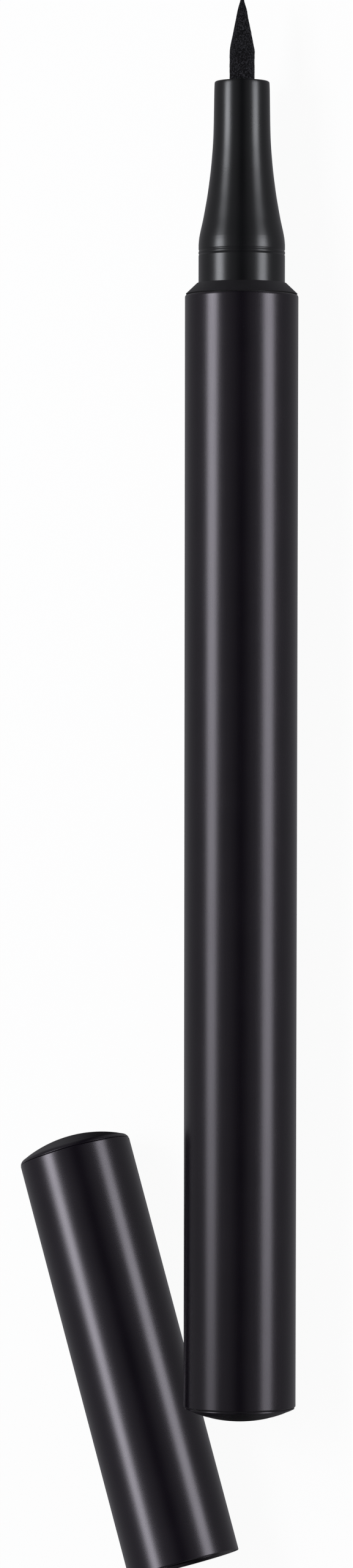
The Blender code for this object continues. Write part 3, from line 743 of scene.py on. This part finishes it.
def fibre_row(shape, radius, height):
    """One turned row of the tip, with its corners moved out and back by the fibres."""
    corners = ring_of(shape, pen_place, radius, height, TIP_STEPS)
    if len(corners) > 1:
        centre = pen_place @ Vector((0, 0, height))
        depth = min(TIP_FIBRE_DEPTH, radius * TIP_FIBRE_RADIUS_SHARE)
        for step, corner in enumerate(corners):
            rise = depth * fibre_rise(FULL_TURN * step / TIP_STEPS, height)
            corner.co += (corner.co - centre).normalized() * rise
    return corners


def felt_tip():
    """The tip as pressed fibres: uneven where it is bare, and plain in the nose."""
    shape = bmesh.new()
    rows = []
    bare_end = NOSE_LENGTH - TIP_RADIUS
    for row in range(TIP_ROWS + 1):
        share = (row / TIP_ROWS) ** TIP_ROW_POWER
        height = TIP_REACH - (TIP_REACH - bare_end) * share
        place = min(1.0, (TIP_REACH - height) / TIP_TAPER_LENGTH)
        rows.append(fibre_row(shape, TIP_RADIUS * curved(TIP_TAPER_SHARES, place), height))
    recess = TIP_REAR + TIP_RECESS_DEPTH
    for radius, height in ((TIP_RADIUS, TIP_REAR), (TIP_RECESS_RADIUS, TIP_REAR), (0, recess)):
        rows.append(ring_of(shape, pen_place, radius, height, TIP_STEPS))
    for one, other in zip(rows, rows[1:]):
        bridge(shape, one, other, TIP_STEPS)
    return finished("tip_fibres", shape)


def spring_row(shape, angle, height, rise):
    """The wire's round section at one place of the coil, square to the wire."""
    out = Vector((math.cos(angle), math.sin(angle), 0))
    along = Vector((-out.y, out.x, rise)).normalized()
    side = along.cross(out)
    centre = out * SPRING_RADIUS + Vector((0, 0, height))
    row = []
    for step in range(SPRING_WIRE_STEPS):
        turn = FULL_TURN * step / SPRING_WIRE_STEPS
        spot = centre + (out * math.cos(turn) + side * math.sin(turn)) * SPRING_WIRE_RADIUS
        row.append(shape.verts.new(cap_place @ spot))
    return row


def spring_coil():
    """The spring between the inner cap's closed end and the cap's domed end."""
    low, high = cap_heights("cap_spring")
    pitch = (high - low - 2 * SPRING_WIRE_RADIUS) / SPRING_TURNS
    shape = bmesh.new()
    rows = []
    for step in range(SPRING_TURNS * SPRING_STEPS_A_TURN + 1):
        turn = step / SPRING_STEPS_A_TURN
        height = low + SPRING_WIRE_RADIUS + pitch * turn
        rows.append(spring_row(shape, FULL_TURN * turn, height, pitch / (FULL_TURN * SPRING_RADIUS)))
    for one, other in zip(rows, rows[1:]):
        bridge(shape, one, other, SPRING_WIRE_STEPS)
    shape.faces.new(rows[0])
    shape.faces.new(rows[-1])
    return finished("spring_coil", shape)


def press_spring(spring):
    """Gives the spring a mesh of its own."""
    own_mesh(spring)


# Materials


def node(tree, kind, inputs, **settings):
    """A shader node whose inputs are values or the outputs of other nodes."""
    made = tree.nodes.new(kind)
    for key, value in settings.items():
        setattr(made, key, value)
    for key, value in inputs.items():
        if isinstance(value, bpy.types.NodeSocket):
            tree.links.new(value, made.inputs[key])
        else:
            made.inputs[key].default_value = value
    return made


def worked_out(tree, operation, one, other):
    """The sum, product or greater of two values."""
    return node(tree, "ShaderNodeMath", {0: one, 1: other}, operation=operation).outputs[0]


def fresh(name, roughness, specular, metallic=0.0):
    material = bpy.data.materials.new(name)
    material.use_nodes = True
    shader = material.node_tree.nodes["Principled BSDF"]
    shader.inputs["Roughness"].default_value = roughness
    shader.inputs["Specular IOR Level"].default_value = specular
    shader.inputs["Metallic"].default_value = metallic
    return material, material.node_tree, shader


def grain(tree, size, detail=MEDIUM_DETAIL, stretch=EVEN):
    """Noise whose spots are about this size, drawn out along an axis by its stretch."""
    place = node(tree, "ShaderNodeTexCoord", {}).outputs["Object"]
    scale = [1 / (size * part) for part in stretch]
    moved = node(tree, "ShaderNodeMapping", {"Vector": place, "Scale": scale})
    made = node(tree, "ShaderNodeTexNoise", {
        "Vector": moved.outputs["Vector"], "Scale": FULL, "Detail": detail})
    return made.outputs["Fac"]


def ranged(tree, value, low, high, shares=GRAIN_SHARES):
    """A value brought to low at the first of two shares and to high at the second."""
    made = node(tree, "ShaderNodeMapRange", {
        "Value": value, "From Min": shares[0], "From Max": shares[1], "To Min": low, "To Max": high})
    return made.outputs["Result"]


def coloured(tree, shader, value, dark, light, shares=GRAIN_SHARES):
    """Lets a grain run the surface's colour from dark to light."""
    mixed = node(tree, "ShaderNodeMix", {
        "Factor": ranged(tree, value, 0, 1, shares),
        MIX_FIRST_COLOUR: (*dark, 1), MIX_SECOND_COLOUR: (*light, 1),
    }, data_type="RGBA")
    tree.links.new(mixed.outputs[MIX_RESULT_COLOUR], shader.inputs["Base Color"])


def roughened(tree, shader, value, spread, shares=GRAIN_SHARES):
    """Lets a grain vary the surface's roughness by a spread to either side."""
    rough = shader.inputs["Roughness"]
    middle = rough.default_value
    tree.links.new(ranged(tree, value, middle - spread, middle + spread, shares), rough)


def bumped(tree, shader, layers):
    """Joins layers of (value, height) into the shader's normal."""
    normal = None
    for value, height in layers:
        inputs = {"Height": value, "Distance": height, "Strength": FULL}
        if normal:
            inputs["Normal"] = normal
        normal = node(tree, "ShaderNodeBump", inputs).outputs["Normal"]
    tree.links.new(normal, shader.inputs["Normal"])


def gloss_plastic(
        name, dark=BLACK, light=BLACK_LIGHT, tint=GLOSS_TINT, roughness=GLOSS_ROUGHNESS, stretch=EVEN):
    """Polished moulded plastic: faint waves, fine rub marks along it and a few duller clouds."""
    material, tree, shader = fresh(name, roughness, GLOSS_SPECULAR)
    shader.inputs["Specular Tint"].default_value = tint
    cloud = grain(tree, GLOSS_CLOUD_SIZE, HIGH_DETAIL)
    rub = grain(tree, GLOSS_RUB_SIZE, MEDIUM_DETAIL, stretch)
    wave = grain(tree, GLOSS_WAVE_SIZE)
    speck = grain(tree, GLOSS_SPECK_SIZE, LOW_DETAIL)
    coloured(tree, shader, cloud, dark, light)
    roughened(tree, shader, worked_out(tree, "ADD", cloud, rub), GLOSS_SPREAD, GLOSS_SPREAD_SHARES)
    bumped(tree, shader, (
        (wave, GLOSS_WAVE_DEPTH), (rub, GLOSS_RUB_DEPTH), (speck, GLOSS_SPECK_DEPTH)))
    return material


def satin_plastic(name):
    """Plastic from a finely sparked mould: an even, dull grain."""
    material, tree, shader = fresh(name, SATIN_ROUGHNESS, SATIN_SPECULAR)
    spark = grain(tree, SATIN_SPARK_SIZE)
    coloured(tree, shader, grain(tree, SATIN_CLOUD_SIZE), SATIN_DARK, SATIN_LIGHT)
    roughened(tree, shader, spark, SATIN_SPREAD)
    bumped(tree, shader, ((spark, SATIN_SPARK_DEPTH),))
    return material


def felt(name):
    """Pressed black fibres, with pale specks painted into their colour as glints of light on the fibres.
    """
    material, tree, shader = fresh(name, FELT_ROUGHNESS, FELT_SPECULAR)
    fibre = grain(tree, FELT_FIBRE_SIZE, HIGH_DETAIL, FELT_FIBRE_STRETCH)
    speck = grain(tree, FELT_SPECK_SIZE)
    # Painted glints: pale specks in the felt's colour where the fibres would catch light
    painted_fibre_glints = worked_out(tree, "MULTIPLY", fibre, speck)
    coloured(tree, shader, painted_fibre_glints, FELT_DARK, FELT_PAINTED_GLINT, FELT_PAINTED_GLINT_SHARES)
    roughened(tree, shader, speck, FELT_SPREAD)
    bumped(tree, shader, ((fibre, FELT_FIBRE_DEPTH), (speck, FELT_SPECK_DEPTH)))
    return material


def pale_fibre(name):
    """Pale fibres that lie along the pen."""
    material, tree, shader = fresh(name, FIBRE_ROUGHNESS, FIBRE_SPECULAR)
    fibre = grain(tree, FIBRE_SIZE, HIGH_DETAIL, FIBRE_STRETCH)
    coloured(tree, shader, fibre, FIBRE_DARK, FIBRE_LIGHT)
    bumped(tree, shader, ((fibre, FIBRE_DEPTH),))
    return material


def milky_plastic(name):
    """Uncoloured moulded plastic with a slightly dull skin."""
    material, tree, shader = fresh(name, MILKY_ROUGHNESS, MILKY_SPECULAR)
    skin = grain(tree, MILKY_SKIN_SIZE)
    coloured(tree, shader, grain(tree, MILKY_CLOUD_SIZE, HIGH_DETAIL), MILKY_DARK, MILKY_LIGHT)
    roughened(tree, shader, skin, MILKY_SPREAD)
    bumped(tree, shader, ((skin, MILKY_SKIN_DEPTH),))
    return material


def soft_rubber(name):
    """Dull rubber with a fine skin."""
    material, tree, shader = fresh(name, RUBBER_ROUGHNESS, RUBBER_SPECULAR)
    skin = grain(tree, RUBBER_SKIN_SIZE, HIGH_DETAIL)
    coloured(tree, shader, skin, RUBBER_DARK, RUBBER_LIGHT)
    bumped(tree, shader, ((skin, RUBBER_SKIN_DEPTH),))
    return material


def plain_steel(name):
    """Bare steel with a fine grain."""
    material, tree, shader = fresh(name, STEEL_ROUGHNESS, STEEL_SPECULAR, STEEL_METALLIC)
    fine = grain(tree, STEEL_GRAIN_SIZE)
    coloured(tree, shader, fine, STEEL_DARK, STEEL_LIGHT)
    roughened(tree, shader, fine, STEEL_SPREAD)
    bumped(tree, shader, ((fine, STEEL_GRAIN_DEPTH),))
    return material


materials = {
    "barrel": gloss_plastic("barrel_gloss", stretch=ALONG_PEN),
    "nose": gloss_plastic("nose_gloss", COOL_BLACK, COOL_BLACK_LIGHT, NOSE_TINT, NOSE_ROUGHNESS),
    "tail_plug": gloss_plastic("tail_gloss"),
    "cap_shell": gloss_plastic("cap_gloss"),
    "cap_end": gloss_plastic("cap_end_gloss"),
    "shoulder_ring": satin_plastic("ring_satin"),
    "cap_sleeve": satin_plastic("sleeve_satin"),
    "felt_tip": felt("tip_felt"),
    "fibre": pale_fibre("pale_fibre"),
    "inner_plastic": milky_plastic("milky_plastic"),
    "seal_rubber": soft_rubber("grey_rubber"),
    "steel": plain_steel("plain_steel"),
}


def dressed(piece, body, stands_for, slot):
    """Gives a new piece its material and its body, and hides the CAD node that it stands for."""
    piece.data.materials.append(materials[slot])
    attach(piece, body)
    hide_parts(stands_for)


def make_pieces():
    """Every new piece, with its body, the CAD node that it stands for and its slot."""
    made = (
        (turned("barrel_tube", barrel_outline(), pen_place), "pen", "barrel", "barrel"),
        (turned("shoulder_bevel", ring_outline(), pen_place), "pen", "shoulder_ring", "shoulder_ring"),
        (turned("nose_cone", nose_outline(), pen_place), "pen", "nose", "nose"),
        (felt_tip(), "pen", "felt_tip", "felt_tip"),
        (turned("tail_dome", plug_outline(), pen_place), "pen", "tail_plug", "tail_plug"),
        (turned("cap_tube", shell_outline(), cap_place), "cap", "cap_shell", "cap_shell"),
        (turned("cap_dome", cap_end_outline(), cap_place), "cap", "cap_end", "cap_end"),
        (turned("cap_lining", sleeve_outline(), cap_place), "cap", "cap_sleeve", "cap_sleeve"),
        (turned("inner_cup", inner_cap_outline(), cap_place), "inner_cap", "inner_cap", "inner_plastic"),
        (turned("inner_cup_seal", soft_seal_outline(), cap_place),
         "inner_cap", "inner_cap_seal", "seal_rubber"),
        (spring_coil(), "cap", "cap_spring", "steel"),
    )
    for piece, body, stands_for, slot in made:
        dressed(piece, body, stands_for, slot)
    press_spring(made[-1][0])


def dress_hidden_nodes():
    """The CAD nodes that stay get their slot's finished material."""
    for part in frame["record"]["subparts"]:
        cad_node = frame["nodes"][part["node"]]
        if not cad_node.hide_render:
            for place in cad_node.material_slots:
                place.material = materials[part["material_slot"]]


# Floor, light and camera


def seen_by_camera(tree):
    """Whether a ray comes from the camera, also through something clear."""
    rays = node(tree, "ShaderNodeLightPath", {}).outputs
    return worked_out(tree, "MAXIMUM", rays["Is Camera Ray"], rays["Is Transmission Ray"])


def make_floor():
    """A white floor that keeps a faint shadow, and through which gloss shows the studio's sides."""
    shape = bmesh.new()
    bmesh.ops.create_grid(shape, x_segments=1, y_segments=1, size=FLOOR_SIZE / 2)
    floor = finished("floor", shape)
    material = bpy.data.materials.new("white_floor")
    material.use_nodes = True
    tree = material.node_tree
    tree.nodes.clear()
    share = worked_out(tree, "MULTIPLY", seen_by_camera(tree), FLOOR_WHITE_SHARE)
    matt = node(tree, "ShaderNodeBsdfDiffuse", {"Color": FLOOR_COLOUR})
    white = node(tree, "ShaderNodeEmission", {"Color": WHITE, "Strength": FULL})
    plain = node(tree, "ShaderNodeMixShader", {0: share, 1: matt.outputs[0], 2: white.outputs[0]})
    in_gloss = node(tree, "ShaderNodeLightPath", {}).outputs["Is Glossy Ray"]
    sides = node(tree, "ShaderNodeBsdfTransparent", {})
    mixed = node(tree, "ShaderNodeMixShader", {0: in_gloss, 1: plain.outputs[0], 2: sides.outputs[0]})
    node(tree, "ShaderNodeOutputMaterial", {"Surface": mixed.outputs[0]})
    floor.data.materials.append(material)
    return floor


def view_axes():
    """The directions to the right and up in the photograph, and back towards the camera."""
    back = Vector((math.sin(VIEW_TILT), 0, math.cos(VIEW_TILT)))
    return Vector((0, 1, 0)).cross(back), Vector((0, 1, 0)), back


def make_camera():
    right, up, back = view_axes()
    distance = FOCAL_PIXELS / PIXELS_PER_MM * MM
    aim = pen_place @ Vector((0, 0, MIDDLE_ROW_HEIGHT)) - right * PEN_OFFSET
    data = bpy.data.cameras.new("camera")
    data.sensor_fit = "VERTICAL"
    data.sensor_height = SENSOR_HEIGHT
    data.lens = SENSOR_HEIGHT * FOCAL_PIXELS / PHOTO_HEIGHT
    data.clip_start = CLIP_START
    data.clip_end = CLIP_END
    camera = bpy.data.objects.new("camera", data)
    turn = Matrix((right, up, back)).transposed() @ Matrix.Rotation(VIEW_ROLL, 3, "Z")
    camera.matrix_world = Matrix.Translation(aim + back * distance) @ turn.to_4x4()
    bpy.context.scene.collection.objects.link(camera)
    bpy.context.scene.camera = camera


def make_strip(name, angle, width, glow, shares):
    """A strip of lamps beside the view, from below the cap's mouth to beyond the tip.

    It has a lamp for each part whose share of the strip's glow isn't zero.
    """
    right, up, back = view_axes()
    lamps = []
    away = back * math.cos(angle) + right * math.sin(angle)
    middle = Vector((0, 0, BARREL_RADIUS)) + away * STRIP_DISTANCE
    turn = Matrix((up.cross(away), up, away)).transposed().to_4x4()
    for low, high, share in zip(STRIP_PART_ENDS, STRIP_PART_ENDS[1:], shares):
        if share == 0:
            continue
        data = bpy.data.lights.new(f"{name}_{len(lamps) + 1}", "AREA")
        data.shape = "RECTANGLE"
        data.size = width
        data.size_y = high - low
        data.energy = glow * share * LAMP_WATTS_PER_GLOW * width * (high - low)
        data.color = LAMP_COLOUR
        lamp = bpy.data.objects.new(data.name, data)
        lamp.matrix_world = Matrix.Translation(middle + up * (low + high) / 2) @ turn
        lamp.visible_camera = False
        bpy.context.scene.collection.objects.link(lamp)
        lamps.append(lamp)
    return lamps


def pieces_on(*bodies):
    """The meshes that ride on some bodies, CAD nodes and new pieces alike."""
    return [thing for thing in bpy.context.scene.objects
            if thing.type == "MESH" and thing.get("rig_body") in bodies]


def shine_past(lamps, floor):
    """Lets low lamps reach the cap past the floor and the pen, and keeps the pen out of gloss."""
    passed = bpy.data.collections.new("passed_by_low_lamps")
    passed.objects.link(floor)
    for piece in pieces_on("pen", "ball"):
        passed.objects.link(piece)
        piece.visible_glossy = False
    for member in passed.collection_objects:
        member.light_linking.link_state = "EXCLUDE"
    for lamp in lamps:
        lamp.light_linking.blocker_collection = passed


def shine_on_cap(lamps):
    """Keeps some lamps to the cap, whose left side shows a brighter light than the pen's."""
    lit = bpy.data.collections.new("lit_by_the_cap_strip")
    for piece in pieces_on("cap", "inner_cap"):
        lit.objects.link(piece)
    for lamp in lamps:
        lamp.light_linking.receiver_collection = lit


def make_world():
    """Two pale sides of a studio, with a dark gap between them over the pen's whole length."""
    right = view_axes()[0]
    world = bpy.data.worlds.new("studio")
    world.use_nodes = True
    tree = world.node_tree
    tree.nodes.clear()
    way = node(tree, "ShaderNodeTexCoord", {}).outputs["Generated"]
    across = node(tree, "ShaderNodeVectorMath", {0: way, 1: right}, operation="DOT_PRODUCT")
    beside = node(tree, "ShaderNodeMath", {0: across.outputs["Value"]}, operation="ABSOLUTE")
    glow = ranged(tree, beside.outputs[0], WORLD_GAP_GLOW, WORLD_GLOW, WORLD_GAP_SHARES)
    studio = node(tree, "ShaderNodeBackground", {"Color": WORLD_COLOUR, "Strength": glow})
    white = node(tree, "ShaderNodeBackground", {"Color": WHITE, "Strength": FULL})
    mixed = node(tree, "ShaderNodeMixShader", {
        0: seen_by_camera(tree), 1: studio.outputs[0], 2: white.outputs[0]})
    node(tree, "ShaderNodeOutputWorld", {"Surface": mixed.outputs[0]})
    bpy.context.scene.world = world


make_pieces()
dress_hidden_nodes()
floor = make_floor()
make_strip("left_strip", LEFT_STRIP_ANGLE, STRIP_WIDTH, LEFT_STRIP_GLOW, LEFT_STRIP_SHARES)
shine_on_cap(make_strip(
    "cap_strip", CAP_STRIP_ANGLE, CAP_STRIP_WIDTH, LEFT_STRIP_GLOW, CAP_STRIP_SHARES))
shine_past(make_strip(
    "right_strip", RIGHT_STRIP_ANGLE, STRIP_WIDTH, RIGHT_STRIP_GLOW, RIGHT_STRIP_SHARES), floor)
make_world()
make_camera()
bpy.context.scene.view_settings.view_transform = "Standard"
